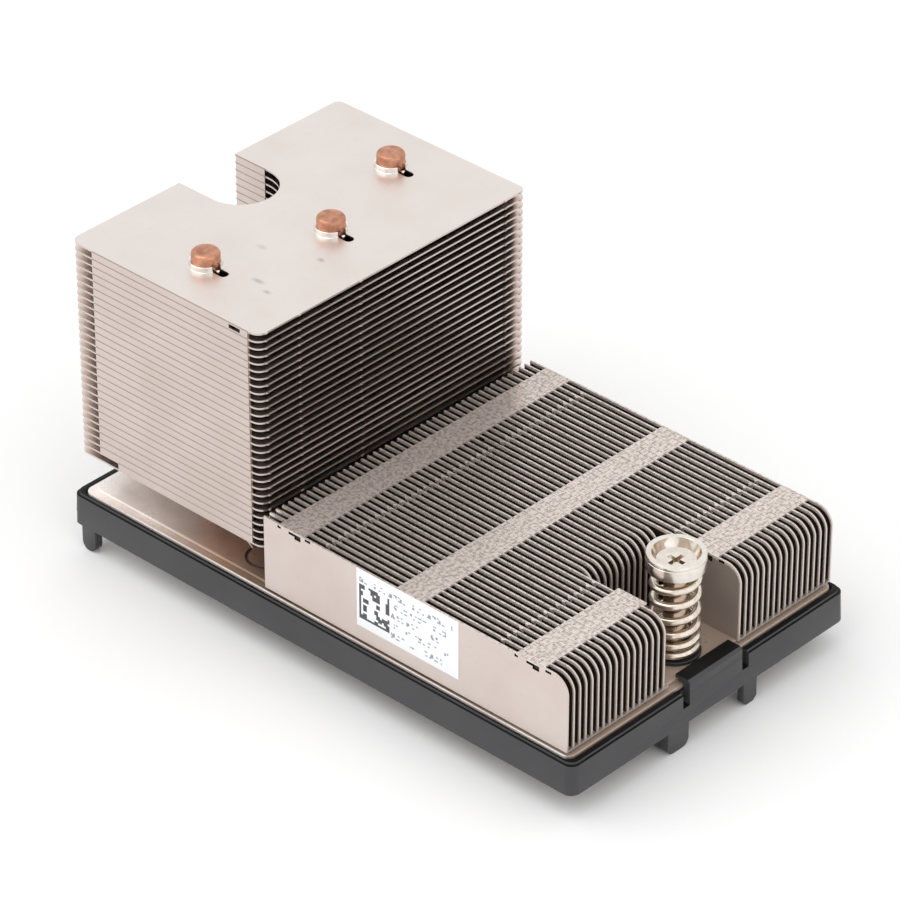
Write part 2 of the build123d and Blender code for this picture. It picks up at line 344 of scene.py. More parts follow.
def nickelSheet(name, light, dark, roughness, scuffs=(), shade=None, metallic=1.0, deep=(0.19, 0.14, 0.115),
                fold=(0.33, 0.28, 0.25), lipLight=(0.80, 0.70, 0.645), highlightAndGrainTop=None):
    # thin plated sheet with a cloudy tone, fine rolling lines and small marks, with painted shade in gaps
    # and along folds and painted light at the gaps' mouths
    material, tree, shader, place = newFinish(name, Metallic=metallic)
    cloud = noise(tree, place, 90, 4)
    tone = blended(tree, between(tree, cloud, 0.35, 0.7), light, dark)
    speck = between(tree, noise(tree, place, 900, 2), 0.68, 0.78, 0, 0.25)
    tone = blended(tree, speck, tone, tuple(c * 0.8 for c in dark))
    for centre, radius, size, strength in scuffs:
        mark = sums(tree, "MULTIPLY", spot(tree, place, centre, radius, size), strength)
        tone = blended(tree, mark, tone, (0.30, 0.27, 0.25))
    if shade:
        inner = innerMark(tree)
        # painted light: faces marked inner take the lighter lip tone
        tone = blended(tree, sums(tree, "MULTIPLY", inner, 1.0, clamp=True), tone, lipLight)
        # painted shade: the deep tone, growing into the gaps by the piece's shade share
        tone = blended(tree, sums(tree, "MULTIPLY", inner, shade(tree, place), clamp=True), tone, deep)
        # painted shade: faces marked above 1 take the fold tone as dark crease lines
        tone = blended(tree, sums(tree, "SUBTRACT", inner, 1.0, clamp=True), tone, fold)
    if highlightAndGrainTop:  # a painted highlight and worn, speckled plating on the highest faces alone
        onTop = between(tree, axes(tree, place)[2], highlightAndGrainTop - 0.1 * mm, highlightAndGrainTop - 0.04 * mm)
        # painted highlight: half of a lighter tone on the highest faces
        tone = blended(tree, sums(tree, "MULTIPLY", onTop, 0.5), tone, (0.86, 0.78, 0.73))
        grain = between(tree, noise(tree, place, 1300, 2), 0.46, 0.6, 0, 0.5)
        tone = blended(tree, sums(tree, "MULTIPLY", onTop, grain), tone, (0.27, 0.225, 0.20))
    tree.links.new(tone, shader.inputs["Base Color"])
    lines = noise(tree, place, 700, 3, stretch=(1, 0.05, 1))
    gloss = between(tree, lines, 0.2, 0.8, roughness - 0.05, roughness + 0.07)
    tree.links.new(gloss, shader.inputs["Roughness"])
    bumped(tree, shader, sums(tree, "ADD", lines, cloud), 0.12, 0.0002)
    return material


def chamberNickel(s):
    # satin plating of the base, with brown heat stains, a painted highlight along the rim's long edges and
    # painted shade in the ring grooves
    material, tree, shader, place = newFinish("chamber_nickel", Metallic=0.25)
    stain = noise(tree, place, 70, 5, rough=0.62)
    x, y, _ = axes(tree, place)
    rimY = s["rim"][1]
    edgeHighlight = between(tree, sums(tree, "ABSOLUTE", y), rimY - 0.4 * mm, rimY - 0.15 * mm)
    tone = s["plating"]
    for start, end, reached in s["stains"]:
        tone = blended(tree, between(tree, x, start, end), tone, reached)
    warm = spot(tree, place, *s["glow"])
    tone = blended(tree, sums(tree, "MULTIPLY", warm, 0.8), tone, (0.52, 0.27, 0.19))
    ringX, ringY, ringRadius, ringWire = s["ring"]
    for side in (-1, 1):  # painted shade in the two ring grooves, where a patch of twice their radius is at 0.5
        patch = spot(tree, place, (ringX, side * ringY, 0), 2 * ringRadius, (1, 1, 0))
        away = sums(tree, "ABSOLUTE", sums(tree, "SUBTRACT", patch, 0.5))
        tone = blended(tree, between(tree, away, 0.03, 0.055, 0.85, 0), tone, (0.05, 0.035, 0.03))
    # painted highlight: a lighter stripe along the rim's long edges
    tone = blended(tree, edgeHighlight, tone, (0.84, 0.76, 0.71))
    tone = blended(tree, between(tree, stain, 0.45, 0.75, 0, 0.5), tone, (0.42, 0.31, 0.23))
    fine = noise(tree, place, 1200, 2)
    tone = blended(tree, between(tree, fine, 0.62, 0.75, 0, 0.3), tone, (0.42, 0.36, 0.31))
    tree.links.new(tone, shader.inputs["Base Color"])
    tree.links.new(between(tree, stain, 0.3, 0.7, 0.24, 0.36), shader.inputs["Roughness"])
    bumped(tree, shader, noise(tree, place, 250, 3), 0.15, 0.0003)
    return material


def pipeCopper():
    material, tree, shader, place = newFinish("pipe_copper", Metallic=1.0)
    patch = noise(tree, place, 450, 4, rough=0.6)
    tone = blended(tree, between(tree, patch, 0.35, 0.7), (0.68, 0.34, 0.22), (0.40, 0.18, 0.115))
    tree.links.new(tone, shader.inputs["Base Color"])
    tree.links.new(between(tree, patch, 0.3, 0.7, 0.28, 0.42), shader.inputs["Roughness"])
    bumped(tree, shader, noise(tree, place, 1500, 3), 0.3, 0.0002)
    return material


def mouldedBlack(name, dark, light, gloss):
    # spark-eroded texture of moulded plastic
    material, tree, shader, place = newFinish(name, Roughness=0.42, Specular_IOR_Level=gloss)
    cloud = noise(tree, place, 60, 3)
    tone = blended(tree, between(tree, cloud, 0.3, 0.7), dark, light)
    dust = between(tree, noise(tree, place, 1600, 2), 0.70, 0.78, 0, 0.2)
    tree.links.new(blended(tree, dust, tone, (0.16, 0.15, 0.14)), shader.inputs["Base Color"])
    bumped(tree, shader, noise(tree, place, 3200, 2), 0.25, 0.0001)
    return material


def brightSteel(name, light, dark, low, high):
    # bright plating, with painted shade as brown patches inside the recesses marked as inner
    material, tree, shader, place = newFinish(name, Metallic=1.0)
    cloud = noise(tree, place, 500, 4, rough=0.6)
    tone = blended(tree, between(tree, cloud, 0.35, 0.7), light, dark)
    inner = innerMark(tree)
    patches = between(tree, noise(tree, place, 330, 1), 0.44, 0.54)
    tone = blended(tree, sums(tree, "MULTIPLY", inner, patches, clamp=True), tone, (0.47, 0.37, 0.28))
    shankShade = sums(tree, "SUBTRACT", inner, 1.0, clamp=True)  # 2 marks the shank under the spring, which takes a painted shade tone
    tree.links.new(blended(tree, shankShade, tone, (0.55, 0.42, 0.32)), shader.inputs["Base Color"])
    tree.links.new(between(tree, cloud, 0.3, 0.7, low, high), shader.inputs["Roughness"])
    bumped(tree, shader, noise(tree, place, 1800, 2), 0.1, 0.0001)
    return material


def washerBlack():
    material, tree, shader, place = newFinish("washer_black", Roughness=0.55)
    grain = noise(tree, place, 2500, 2)
    tone = blended(tree, grain, (0.012, 0.012, 0.012), (0.03, 0.029, 0.028))
    tree.links.new(tone, shader.inputs["Base Color"])
    bumped(tree, shader, grain, 0.3, 0.0001)
    return material


def labelPaper():
    material, tree, shader, place = newFinish("label_paper", Roughness=0.5)
    fibre = noise(tree, place, 1500, 4, rough=0.65)
    tree.links.new(blended(tree, fibre, (0.97, 0.98, 0.99), (0.92, 0.93, 0.95)), shader.inputs["Base Color"])
    bumped(tree, shader, fibre, 0.08, 0.0001)
    return material


def labelInk(name, dark, light):
    material, tree, shader, place = newFinish(name, Roughness=0.6)
    worn = noise(tree, place, 2200, 3)
    tree.links.new(blended(tree, worn, dark, light), shader.inputs["Base Color"])
    return material


finishes = {
    "copper": pipeCopper(),
    "frame": mouldedBlack("moulded_black", (0.036, 0.036, 0.039), (0.046, 0.046, 0.049), 0.5),
    # a darker, less glossy copy of the frame's black for its upper faces: painted shade
    "frameTopShade": mouldedBlack("moulded_black_top_shade", (0.006, 0.006, 0.006), (0.010, 0.010, 0.010), 0.12),
    "screw": brightSteel("screw_plate", (0.86, 0.81, 0.75), (0.74, 0.68, 0.61), 0.14, 0.24),
    "spring": brightSteel("spring_plate", (0.84, 0.77, 0.68), (0.66, 0.56, 0.46), 0.15, 0.28),
    "clip": brightSteel("clip_plate", (0.55, 0.55, 0.54), (0.42, 0.41, 0.40), 0.3, 0.42),
    "solder": brightSteel("solder_tin", (0.95, 0.92, 0.89), (0.70, 0.65, 0.61), 0.18, 0.34),
    "washer": washerBlack(),
    "paper": labelPaper(),
    "ink": labelInk("label_ink", (0.04, 0.04, 0.05), (0.12, 0.12, 0.14)),
    "paleInk": labelInk("label_ink_pale", (0.22, 0.23, 0.28), (0.42, 0.43, 0.50)),
}
print("shared finishes made:", len(finishes))


# The tall stack of plates
tallStack = {
    "back": -69.3 * mm, "front": -15.9 * mm, "side": 38.7 * mm,
    "lowest": 13.0 * mm, "pitch": 1.73 * mm, "count": 30, "thickness": 0.4 * mm,
    "nearCorner": 2.3 * mm, "farCorner": 1.5 * mm, "fold": 0.22 * mm, "wallProud": 0.13 * mm,
    "wallBack": -62.9 * mm, "wallFront": -18.9 * mm, "cutWallBack": -57.6 * mm,
    "notchX": -59.5 * mm, "notchRadius": 8.0 * mm, "notchWall": (-68.9 * mm, -60.5 * mm),
    "windowX": (-24.06 * mm, -20.97 * mm), "windowDepth": 1.0 * mm,
    "tongues": ((-22.95 * mm, -21.67 * mm), (-20.97 * mm, -19.55 * mm)), "tongueReach": 0.1 * mm,
    "nibs": (-36.5 * mm, -27.3 * mm, -10.0 * mm, 32.4 * mm, 37.0 * mm), "nibReach": 0.22 * mm,
    "slotReach": 6.3 * mm, "slotWidth": 2.1 * mm, "slotShift": -0.3 * mm,
    # paintedLightEdge and paintedShadeFrom: where the painted light at the outline ends and where the
    # painted shade is full
    "bentTab": (-20.9 * mm, -19.9 * mm), "paintedLightEdge": 0.2 * mm, "paintedShadeFrom": 1.6 * mm,
}
pipes = {"near": (-42.6 * mm, -26.7 * mm), "middle": (-33.8 * mm, 0.0), "far": (-42.6 * mm, 26.7 * mm)}
pipeRadius = 3.0 * mm
topScuffs = [  # centre, radius, stretch, strength
    ((-39.1 * mm, -14.4 * mm, 63.57 * mm), 1.6 * mm, (1, 1.6, 1), 0.35),
    ((-30.5 * mm, -24.1 * mm, 63.57 * mm), 1.1 * mm, (0.5, 1.2, 1), 0.55),
    ((-26.3 * mm, -25.9 * mm, 63.57 * mm), 1.0 * mm, (0.8, 1.2, 1), 0.55),
    ((-27.0 * mm, -9.9 * mm, 63.57 * mm), 0.9 * mm, (0.8, 1.0, 1), 0.6),
]
finishes["plate"] = nickelSheet("plate_nickel", (0.645, 0.56, 0.515), (0.60, 0.51, 0.465), 0.34,
                                shade=plateShade(tallStack))
# a lighter copy of the plate nickel for the top faces of the highest plate: painted light
finishes["topPlate"] = nickelSheet("top_plate_nickel_lit", (0.81, 0.745, 0.705), (0.775, 0.71, 0.665), 0.36,
                                   scuffs=topScuffs)


def foldedWall(s, name, x, outer, bottom, side):
    # a wall folded down from the plate's edge; side is +1 or -1 for the face it shows
    inner = outer - side * s["thickness"]
    outer += side * s["wallProud"]
    top = bottom + s["thickness"] - 0.02 * mm
    low = bottom - (s["pitch"] - s["thickness"]) + 0.02 * mm
    wall = box(name, (x[0], min(inner, outer), low), (x[1], max(inner, outer), top))
    startEdit(wall, "EDGE")
    selectWhere(wall, lambda e, co: abs(co.y - outer) < 1e-6 and abs(co.z - top) < 1e-6, "edges")
    bpy.ops.mesh.bevel(offset=s["fold"], segments=3, affect="EDGES")
    stopEdit()
    return wall


def plate(s, bottom, name, top=False, wallBack=None, walls=True):
    x, y = (s["back"], s["front"]), (-s["side"], s["side"])
    corners = {(end, far): s["farCorner" if far else "nearCorner"] for far in (0, 1) for end in (0, 1)}
    body = sheet(name, x, y, bottom, bottom + s["thickness"], corners)
    radius = s["notchRadius"]
    deep = 4 * s["thickness"]
    notch = box("notch", (s["back"] - radius, -radius, bottom - deep), (s["notchX"], radius, bottom + deep))
    cut(body, notch)
    cut(body, cylinder("notch", (s["notchX"], 0, bottom), radius, deep, 40))
    for px, py in pipes.values():
        cut(body, cylinder("hole", (px, py, bottom), pipeRadius * 1.015, deep, 32))
        if top:
            slotY = py + s["slotShift"]
            half = s["slotWidth"] / 2
            slot = box("slot", (px, slotY - half, bottom - deep),
                       (px + s["slotReach"], slotY + half, bottom + deep))
            startEdit(slot, "EDGE")
            selectWhere(slot, lambda e, co: co.x > px + pipeRadius and abs(co.z - bottom) < 1e-5, "edges")
            bpy.ops.mesh.bevel(offset=half * 0.9, segments=4, affect="EDGES")
            stopEdit()
            cut(body, slot)
    wallX = (wallBack or s["wallBack"], s["wallFront"])
    parts = [body]
    for side in (-1, 1) if walls else ():
        wall = foldedWall(s, "wall", wallX, side * s["side"], bottom, side)
        if top:  # only here is the window open, with no plate above to lock into it
            cut(wall, box("window", (s["windowX"][0], side * s["side"] - mm, bottom - s["windowDepth"]),
                          (s["windowX"][1], side * s["side"] + mm, bottom - 0.1 * mm)))
        parts.append(wall)
        parts.append(foldedWall(s, "wall", s["notchWall"], side * radius, bottom, -side))
    for nibY in s["nibs"]:
        nib = box("nib", (s["front"] - 0.2 * mm, nibY - 0.5 * mm, bottom + 0.03 * mm),
                  (s["front"] + s["nibReach"], nibY + 0.5 * mm, bottom + s["thickness"] * 0.9))
        startEdit(nib, "FACE")
        selectWhere(nib, lambda f, co: co.x > s["front"] + s["nibReach"] / 2, "faces")
        middle = (s["front"], nibY, bottom + s["thickness"] / 2)
        bpy.ops.transform.resize(value=(1, 0.5, 0.8), center_override=middle)
        stopEdit()
        parts.append(nib)
    whole = joined(name, parts)

    def kind(normal, centre):  # 2 on the rounded folds, which take painted shade as crease lines; 1 on flat faces, which take the painted shade and light of the gaps
        folded = 0.15 < normal.z < 0.99 and centre.z > bottom - 0.1 * mm
        return 2.0 if folded else float(abs(normal.z) > 0.9)
    return markInner(whole, kind)


def tongues(s, bottom):
    # the tabs of the plate above, locked into this plate's walls and standing a little proud
    pieces = []
    for side in (-1, 1):
        outer = side * (s["side"] + s["tongueReach"])
        inner = side * (s["side"] - s["thickness"])
        for start, end in s["tongues"]:
            low, high = bottom - s["windowDepth"], bottom + s["thickness"] * 0.4
            piece = box("tongue", (start, min(inner, outer), low), (end, max(inner, outer), high))
            startEdit(piece, "EDGE")
            selectWhere(piece, lambda e, co: abs(co.y) > s["side"] + s["tongueReach"] / 2, "edges")
            bpy.ops.mesh.bevel(offset=0.09 * mm, segments=2, affect="EDGES")
            stopEdit()
            pieces.append(piece)
    return pieces


def bentTab(s):
    # the end of a side wall that has been bent down at the near front corner of the lowest plate
    start, end = s["bentTab"]
    piece = box("bent_tab", (start, -s["side"] - 0.02 * mm, s["lowest"] - 1.5 * mm),
                (end, -s["side"] + 0.35 * mm, s["lowest"] + 0.2 * mm))
    startEdit(piece, "FACE")
    selectWhere(piece, lambda f, co: co.z < s["lowest"] - 1.4 * mm, "faces")
    bpy.ops.transform.resize(value=(0.5, 1, 1), center_override=(end - 0.1 * mm, -s["side"], s["lowest"]))
    bpy.ops.transform.translate(value=(0.7 * mm, 0.5 * mm, 0))
    stopEdit()
    return piece


def buildStack(s):
    last = s["lowest"] + (s["count"] - 1) * s["pitch"]
    second = s["lowest"] + s["pitch"]
    third = second + s["pitch"]
    bare = joined("tall_plate_01", [plate(s, s["lowest"], "tall_plate_01", walls=False), bentTab(s)])
    # the top faces take the gaps' painted shade and light; the undersides take 0.3 of it, a weaker painted
    # shade under the stack
    markInner(bare, lambda normal, centre: 1.0 if normal.z > 0.9 else 0.3 * (normal.z < -0.9))
    short = plate(s, second, "tall_plate_02", wallBack=s["cutWallBack"])
    short = joined("tall_plate_02", [short] + tongues(s, second))
    master = joined("tall_plate_03", [plate(s, third, "tall_plate_03")] + tongues(s, third))
    top = plate(s, last, f"tall_plate_{s['count']:02d}", top=True)
    plates = [bare, short, master]
    for number in range(4, s["count"]):
        plates.append(copied(master, f"tall_plate_{number:02d}", (0, 0, (number - 3) * s["pitch"])))
    for number, piece in enumerate(plates + [top], 1):
        finish = finishes["topPlate" if piece == top else "plate"]
        finished(piece, "root", finish, [f"stack_plate_{number:02d}"])
    top.data.materials.append(finishes["plate"])  # the plain plate finish for its folds and walls; the flat top keeps the lighter copy, which is painted light
    for face in top.data.polygons:
        face.material_index = int(face.normal.z < 0.99)


buildStack(tallStack)
print("tall stack built")


# The three upright pipes, each with a drawn collar and a blob of solder in its slot
upright = {
    "bottom": 5.0 * mm, "plateTop": 63.57 * mm, "above": 3.3 * mm, "topFillet": 0.8 * mm,
    "collarRadius": 3.5 * mm, "collarHeight": 1.25 * mm, "blobReach": 3.7 * mm, "blobRadius": 0.42 * mm,
}


def buildPipes(s):
    top = s["plateTop"] + s["above"]
    fillet = s["topFillet"]
    r = pipeRadius
    for end, (x, y) in pipes.items():
        rings = [(r * 0.9, s["bottom"]), (r, s["bottom"] + 0.3 * mm), (r, top - fillet)]
        for step in range(1, 5):
            angle = math.pi / 2 * step / 5
            rings.append((r - fillet + fillet * math.cos(angle), top - fillet + fillet * math.sin(angle)))
        rings += [(r - fillet * 1.1, top - 0.02 * mm), (r * 0.45, top + 0.06 * mm),
                  (r * 0.12, top - 0.05 * mm)]
        pipe = turned(f"upright_pipe_{end}", rings, (x, y), 40)
        finished(pipe, "root", finishes["copper"], [f"heat_pipe_{end}"])
        foot, outer = s["plateTop"] - 0.05 * mm, s["collarRadius"]
        collar = turned(f"pipe_collar_{end}", [
            (r + 0.02 * mm, foot), (outer + 0.25 * mm, foot), (outer + 0.06 * mm, foot + 0.15 * mm),
            (outer, foot + 0.5 * mm), (outer, foot + s["collarHeight"] - 0.12 * mm),
            (outer - 0.1 * mm, foot + s["collarHeight"]),
            (r + 0.02 * mm, foot + s["collarHeight"] - 0.05 * mm),
            (r + 0.02 * mm, foot)], (x, y), 40, hollow=True)
        slotY = y + tallStack["slotShift"]
        half = tallStack["slotWidth"] / 2
        cut(collar, box("gap", (x, slotY - half, foot - mm), (x + 6 * mm, slotY + half, foot + 3 * mm)))
        finished(collar, "root", finishes["solder"])
        clearSelection()
        bpy.ops.mesh.primitive_uv_sphere_add(segments=16, ring_count=10, radius=s["blobRadius"],
                                             location=(x + s["blobReach"], slotY, s["plateTop"] - 0.1 * mm))
        blob = settled(f"solder_blob_{end}")
        startEdit(blob)
        middle = Vector((x + s["blobReach"], slotY, s["plateTop"]))
        selectWhere(blob, lambda v, co: co.x < middle.x)
        bpy.ops.transform.resize(value=(1.6, 0.8, 0.7), center_override=middle)
        selectWhere(blob, lambda v, co: co.y > middle.y)
        bpy.ops.transform.resize(value=(0.8, 1.2, 0.9), center_override=middle)
        stopEdit()
        finished(blob, "root", finishes["solder"], smooth=80)


buildPipes(upright)
print("pipes built")


# The low fins, one bank on each side of the front screw and a shorter one behind it
lowFins = {
    "pitch": 1.75 * mm, "thickness": 0.4 * mm, "firstY": -39.375 * mm,
    "back": -14.8 * mm, "front": 66.8 * mm, "middleFront": 46.8 * mm, "foot": 5.0 * mm, "top": 22.2 * mm,
    "corner": 3.9 * mm, "cornerSteps": 10,
    "bands": ((-10.5 * mm, -3.7 * mm), (21.7 * mm, 28.9 * mm), (53.4 * mm, 60.6 * mm)),
    "banks": {"near": (0, 16), "middle": (17, 28), "far": (29, 45)},
    "padCuts": ((0.25, 0.5, 0.75), (0.12, 0.38, 0.62, 0.88)), "seam": 0.13 * mm, "sink": 0.12 * mm,
    "kinks": (1.4 * mm, 48.4 * mm), "kinkReach": 0.32 * mm, "pocket": 0.3 * mm,
    # paintedLightEdge and paintedShadeFrom: where the painted light at the outline ends and where the
    # painted shade is full
    "paintedLightEdge": 0.22 * mm, "paintedShadeFrom": 0.45 * mm,
}


def finNickel(s, name, front):
    # near-black painted shade in the gaps and relief marks, and a lighter tone as painted light at the gaps'
    # mouths and on the top faces
    return nickelSheet(name, (0.69, 0.60, 0.56), (0.645, 0.555, 0.505), 0.32, shade=finShade(s, front),
                       metallic=0.55, deep=(0.058, 0.036, 0.025), fold=(0.03, 0.025, 0.02),
                       lipLight=(0.93, 0.83, 0.76), highlightAndGrainTop=s["top"])


def finOutline(s, name, front):
    # one upright fin: a plane stood on edge, its front top corner rounded, then given its thickness
    clearSelection()
    x, z = (s["back"], front), (s["foot"], s["top"])
    bpy.ops.mesh.primitive_plane_add(size=1, rotation=(math.pi / 2, 0, 0),
                                     location=((x[0] + x[1]) / 2, 0, (z[0] + z[1]) / 2))
    bpy.context.active_object.scale = (x[1] - x[0], z[1] - z[0], 1)
    fin = settled(name)
    startEdit(fin)
    selectWhere(fin, lambda v, co: co.x > front - 1e-6 and co.z > s["top"] - 1e-6)
    bpy.ops.mesh.bevel(offset=s["corner"], segments=s["cornerSteps"], affect="VERTICES")
    bpy.ops.mesh.select_all(action="SELECT")
    bpy.ops.mesh.extrude_region_move(TRANSFORM_OT_translate={"value": (0, s["thickness"], 0)})
    outwards(fin)
    fin.data.transform(Matrix.Translation((0, -s["thickness"] / 2, 0)))
    return fin


def tab(s, x, shares):
    # the folded tab that reaches to the next fin: a floor under pads that are split by fine seams
    top, t, pitch = s["top"], s["thickness"], s["pitch"]
    seam, sunk = s["seam"], top - s["sink"]
    inside = 0.02 * mm
    parts = [box("tab", (x[0], -t / 2 + inside, top - t), (x[1], pitch - t / 2 + inside, sunk))]
    splits = [x[0] - seam / 2] + [x[0] + share * (x[1] - x[0]) for share in shares] + [x[1] + seam / 2]
    for start, end in zip(splits, splits[1:]):
        parts.append(box("tab", (start + seam / 2, -t / 2 + inside, sunk - inside),
                         (end - seam / 2, pitch - t / 2 + inside - seam, top + inside)))
    return parts


def kink(s, x):
    # a spacer dimple pressed out of the fin near its top edge
    face, reach = -s["thickness"] / 2, s["kinkReach"]
    piece = box("kink", (x - 0.6 * mm, face - reach, s["top"] - 1.5 * mm),
                (x + 0.6 * mm, face + 0.05 * mm, s["top"] - 0.02 * mm))
    startEdit(piece, "FACE")
    selectWhere(piece, lambda f, co: co.y < face - reach * 0.9, "faces")
    bpy.ops.transform.resize(value=(0.45, 1, 0.7), center_override=(x, face, s["top"] - 0.3 * mm))
    stopEdit()
    return piece


def pockets(s, fin):
    # the relief cuts along the outer fin's top edge, which show as small dark marks by the painted shade
    # their faces are given
    face, top = -s["thickness"] / 2, s["top"]
    for start, end in s["bands"]:
        marks = [  # left, right, and how far its lower and upper edges lie under the top
            (start + 2.7 * mm, start + 5.2 * mm, 1.0, 0.2), (start + 4.3 * mm, start + 6.0 * mm, 1.6, 0.3),
            (end + 0.4 * mm, end + 1.9 * mm, 0.75, 0.2), (start - 0.4 * mm, start + 0.5 * mm, 0.9, 0.25),
        ]
        for left, right, low, high in marks:
            cut(fin, box("mark", (left, face - mm, top - low * mm),
                         (right, face + s["pocket"], top - high * mm)))
    return fin


def finUnit(s, front, shares, outer=False):
    fin = finOutline(s, "fin", front)
    extra = [] if outer else [kink(s, x) for x in s["kinks"] if x < front - s["corner"]]
    if outer:
        pockets(s, fin)
    for x in s["bands"]:
        if x[1] < front - s["corner"] + s["thickness"]:
            extra += tab(s, x, shares)
    extra.append(box("foot", (s["back"] + 0.03 * mm, -s["thickness"] / 2 + 0.02 * mm, s["foot"]),
                     (front - 0.03 * mm, s["pitch"] - s["thickness"] / 2 + 0.02 * mm, s["foot"] + 0.3 * mm)))
    return joined("fin_unit", [fin] + extra)


def buildLowFins(s):
    outerFace = s["firstY"] - s["thickness"] / 2
    farStart = s["firstY"] + s["banks"]["far"][0] * s["pitch"] - s["thickness"] / 2
    farEnd = -outerFace

    # marks for painted shade: 1 on the flanks that face a gap, 12 inside the relief marks; the outer faces
    # get none
    def depth(normal, centre):
        for face in (outerFace, farStart):  # inside the relief marks, painted shade with the fold tone
            away = centre.y - face
            if 0.05 * mm < away < 0.35 * mm and abs(away - s["thickness"] / 2) > 0.01 * mm:
                return 12.0
        seen = any(abs(centre.y - y) < 0.01 * mm for y in (outerFace, farEnd))
        return float(abs(normal.y) > 0.9 and not seen)

    longFin = finNickel(s, "low_fin_nickel", s["front"])
    shortFin = finNickel(s, "short_fin_nickel", s["middleFront"])
    for bank, (first, last) in s["banks"].items():
        front = s["middleFront"] if bank == "middle" else s["front"]
        units = [finUnit(s, front, shares) for shares in s["padCuts"]]
        outer = finUnit(s, front, s["padCuts"][0], outer=True) if bank != "middle" else None
        end = finOutline(s, "fin_end", front)
        fins = []
        for number in range(first, last + 1):
            source = end if bank == "far" and number == last else units[number % 2]
            if outer and number == first:
                source = outer
            fins.append(copied(source, "fin", (0, s["firstY"] + number * s["pitch"], 0)))
        for master in units + [end] + ([outer] if outer else []):
            bpy.data.objects.remove(master)
        piece = markInner(joined(f"folded_fins_{bank}", fins), depth)
        finish = shortFin if bank == "middle" else longFin
        finished(piece, "root", finish, [f"low_fins_{bank}"])


buildLowFins(lowFins)
print("low fins built")


# The base: rim, raised deck, shell and contact block
chamber = {
    "rim": (67.5 * mm, 39.7 * mm, 3.2 * mm, 4.2 * mm), "deck": (66.0 * mm, 38.2 * mm, 4.1 * mm, 5.0 * mm),
    "shell": (64.1 * mm, 36.3 * mm, 1.5 * mm, 3.3 * mm), "block": (23.0 * mm, 20.0 * mm, 0.0, 1.6 * mm),
    "corner": 2.0 * mm, "holeX": 59.5 * mm, "holeRadius": 3.0 * mm,
    "ring": (-22.2 * mm, 31.6 * mm, 4.2 * mm, 0.28 * mm), "edge": 0.22 * mm,
    "plating": (0.99, 0.92, 0.87),
    "stains": (  # along x: where a tone starts, where it is reached, and the tone
        (-60 * mm, -28 * mm, (0.40, 0.26, 0.185)), (-30 * mm, -20 * mm, (0.25, 0.165, 0.12)),
        (30 * mm, 50 * mm, (0.46, 0.36, 0.29)),
    ),
    "glow": ((-31 * mm, -33 * mm, 5 * mm), 8 * mm, (0.7, 1.1, 1)),  # of the copper: centre, radius, stretch
}


def slab(s, key, edge):
    x, y, bottom, top = s[key]
    corners = {(a, b): s["corner"] for a in (0, 1) for b in (0, 1)}
    part = sheet(key, (-x, x), (-y, y), bottom, top, corners)
    return softened(part, edge, 3, 50)


def buildBase(s):
    base = slab(s, "rim", s["edge"])
    cut(base, slab(s, "deck", s["edge"] * 1.6), "UNION")
    cut(base, slab(s, "shell", s["edge"]), "UNION")
    cut(base, slab(s, "block", s["edge"]), "UNION")
    for x in (-s["holeX"], s["holeX"]):
        cut(base, cylinder("hole", (x, 0, 2.5 * mm), s["holeRadius"], 8 * mm, 40))
    ringX, ringY, ringRadius, ringWire = s["ring"]
    for side in (-1, 1):
        clearSelection()
        bpy.ops.mesh.primitive_torus_add(location=(ringX, side * ringY, s["deck"][3]), major_segments=48,
                                         minor_segments=8, major_radius=ringRadius, minor_radius=ringWire)
        cut(base, settled("groove"))
    base.name = base.data.name = "chamber_base"
    finished(base, "root", chamberNickel(s), ["base_plate"])


buildBase(chamber)
print("base built")


# The moulded frame keeps the solid's shape; its edges get the small radii of a moulding
def buildFrame():
    node = nodes["support_frame"]
    piece = copied(node, "moulded_frame", (0, 0, 0))
    piece.parent = None
    startEdit(piece)
    bpy.ops.mesh.select_all(action="SELECT")
    bpy.ops.mesh.remove_doubles(threshold=1e-6)
    bpy.ops.mesh.dissolve_limited(angle_limit=math.radians(1))
    stopEdit()
    softened(piece, 0.18 * mm, 2, 35)
    finished(piece, "root", finishes["frame"], ["support_frame"])
    piece.data.materials.append(finishes["frameTopShade"])  # the upper faces take a darker, less glossy copy of the black as painted shade
    for face in piece.data.polygons:
        face.material_index = int(face.normal.z > 0.8)


buildFrame()
print("frame dressed")


# The captive screws: cap, shank, thread, spring and washer
screw = {
    "x": 59.5 * mm, "capBottom": 25.2 * mm, "capTop": 28.9 * mm, "capRadius": 6.15 * mm,
    "dishRadius": 4.9 * mm, "dishDepth": 2.1 * mm, "crossLength": 4.4 * mm, "crossWidth": 1.1 * mm,
    "shankRadius": 2.4 * mm, "threadRadius": 2.0 * mm, "tip": -4.0 * mm,
    "grooveTop": 1.4 * mm, "grooveBottom": 0.55 * mm, "grooveRadius": 1.6 * mm,
    "springBottom": 5.85 * mm, "springTop": 25.15 * mm, "springRadius": 4.5 * mm, "wireRadius": 0.85 * mm,
    "turns": 5.8, "phase": -101, "stepsPerTurn": 28, "wireSides": 12,
    "washer": (2.8 * mm, 5.5 * mm, 5.0 * mm, 5.8 * mm),
}


